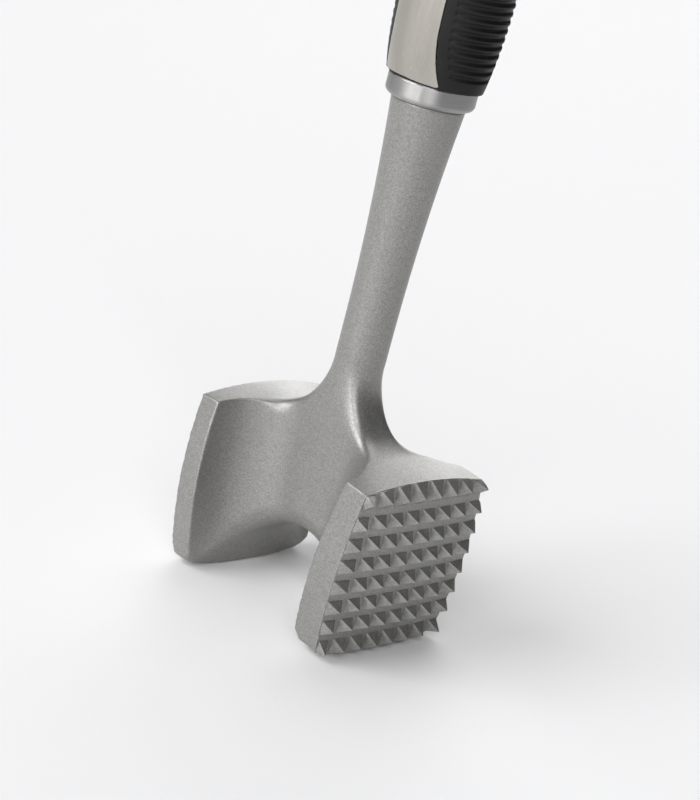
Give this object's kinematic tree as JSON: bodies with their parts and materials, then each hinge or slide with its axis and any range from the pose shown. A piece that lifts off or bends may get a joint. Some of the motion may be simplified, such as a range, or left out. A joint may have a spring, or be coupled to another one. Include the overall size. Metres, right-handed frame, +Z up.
{
  "type": "meat tenderizer",
  "caption": "Two-sided meat tenderizer: cast head with a flat face and a face of pyramid teeth, flared round neck, steel collar, and an oval handle with steel plates and ribbed grips.",
  "frame": {"origin": "on the neck's axis, level with the lowest point of the head", "axes": "+Z up the handle towards the end cap, +X out of the toothed face, steel plates on -Y and +Y"},
  "size_m": [0.0789, 0.0574, 0.268],
  "materials": {
    "coated_casting": "satin grey coat with a fine sparkle",
    "brushed_steel": "fine brushed, satin",
    "black_grip": "matte soft-touch",
    "black_plastic": "fine matte",
    "fastener_steel": "bright zinc"
  },
  "bodies": {
    "root": {"head_casting": "coated_casting", "collar": "brushed_steel", "collar_gasket": "black_plastic", "front_plate": "brushed_steel", "back_plate": "brushed_steel", "right_grip": "black_grip", "left_grip": "black_grip", "handle_core": "black_plastic", "end_cap": "black_plastic", "tang_screw": "fastener_steel", "tang_washer": "fastener_steel", "tang_pins": "fastener_steel", "front_plate_studs": "fastener_steel", "back_plate_studs": "fastener_steel"}
  },
  "joints": []
}
